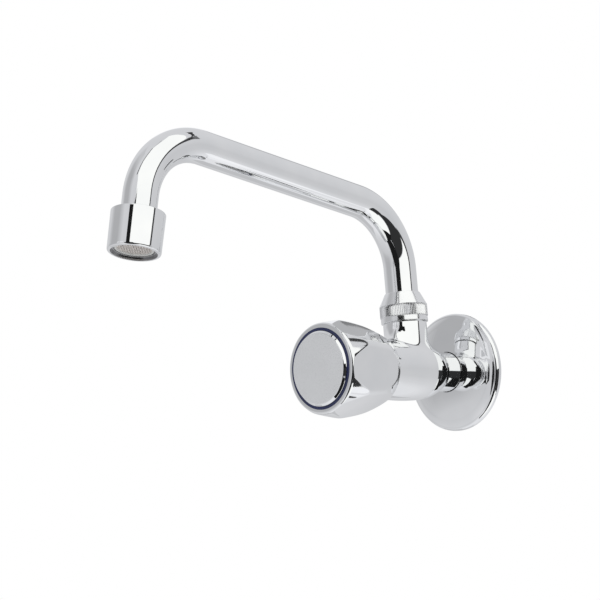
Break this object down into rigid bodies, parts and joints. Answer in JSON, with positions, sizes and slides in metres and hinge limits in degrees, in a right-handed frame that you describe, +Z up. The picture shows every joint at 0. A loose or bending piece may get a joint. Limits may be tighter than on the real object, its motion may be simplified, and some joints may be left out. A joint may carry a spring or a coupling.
{
  "type": "water tap",
  "caption": "Wall-mounted cold water tap: chrome body with a wall flange, a six-sided turning knob with a dark blue ring, and a bent tubular spout that swivels and ends in an aerator.",
  "frame": {"origin": "on the inlet's axis in the plane of the wall's face", "axes": "+Y into the wall along the inlet thread, +Z up along the stalk that carries the spout, +X to the right for someone who faces the wall"},
  "size_m": [0.066, 0.2567, 0.1544],
  "materials": {
    "cast_chrome": "polished",
    "sheet_chrome": "polished",
    "nut_chrome": "polished",
    "tube_chrome": "polished",
    "sleeve_chrome": "polished",
    "knob_chrome": "polished",
    "cap_satin": "satin",
    "index_blue": "glossy",
    "brass": "machined",
    "steel": "brushed",
    "mesh_steel": "woven wire",
    "rubber": "matte",
    "fibre": "matte",
    "slide_plastic": "matte",
    "insert_plastic": "matte",
    "aerator_plastic": "satin"
  },
  "bodies": {
    "body": {"tap_body": "cast_chrome", "wall_flange": "sheet_chrome", "flange_o_ring": "rubber", "bonnet": "brass", "bonnet_seal": "fibre", "spindle_washer": "slide_plastic", "spout_nut": "nut_chrome"},
    "knob": {"knob": "knob_chrome", "index_ring": "index_blue", "knob_cap": "cap_satin", "handle_insert": "insert_plastic", "handle_screw": "steel", "spindle": "brass", "spindle_o_rings": "rubber", "spindle_circlip": "steel"},
    "plunger": {"valve_plunger": "brass", "valve_washer": "rubber", "washer_screw": "brass"},
    "spout": {"spout_tube": "tube_chrome", "spout_foot": "brass", "spout_o_rings": "rubber", "spout_slide_ring": "slide_plastic", "outlet_collar": "brass", "aerator_housing": "sleeve_chrome", "aerator_seal": "rubber", "aerator_insert": "aerator_plastic", "aerator_screen": "mesh_steel"}
  },
  "joints": [
    {"name": "knob_turn", "type": "hinge", "parent": "body", "child": "knob", "pos_m": [0, 0, 0], "axis": [0, -1, 0], "range_deg": [0, 720]},
    {"name": "plunger_lift", "type": "slide", "parent": "body", "child": "plunger", "axis": [0, -1, 0], "range_m": [0, 0.004]},
    {"name": "spout_swivel", "type": "hinge", "parent": "body", "child": "spout", "pos_m": [0, -0.0393, 0], "axis": [0, 0, 1], "range_deg": [-95, 95]}
  ],
  "couplings": [
    {"joint": "plunger_lift", "follows": "knob_turn", "m_per_rad": 0.0003183}
  ]
}
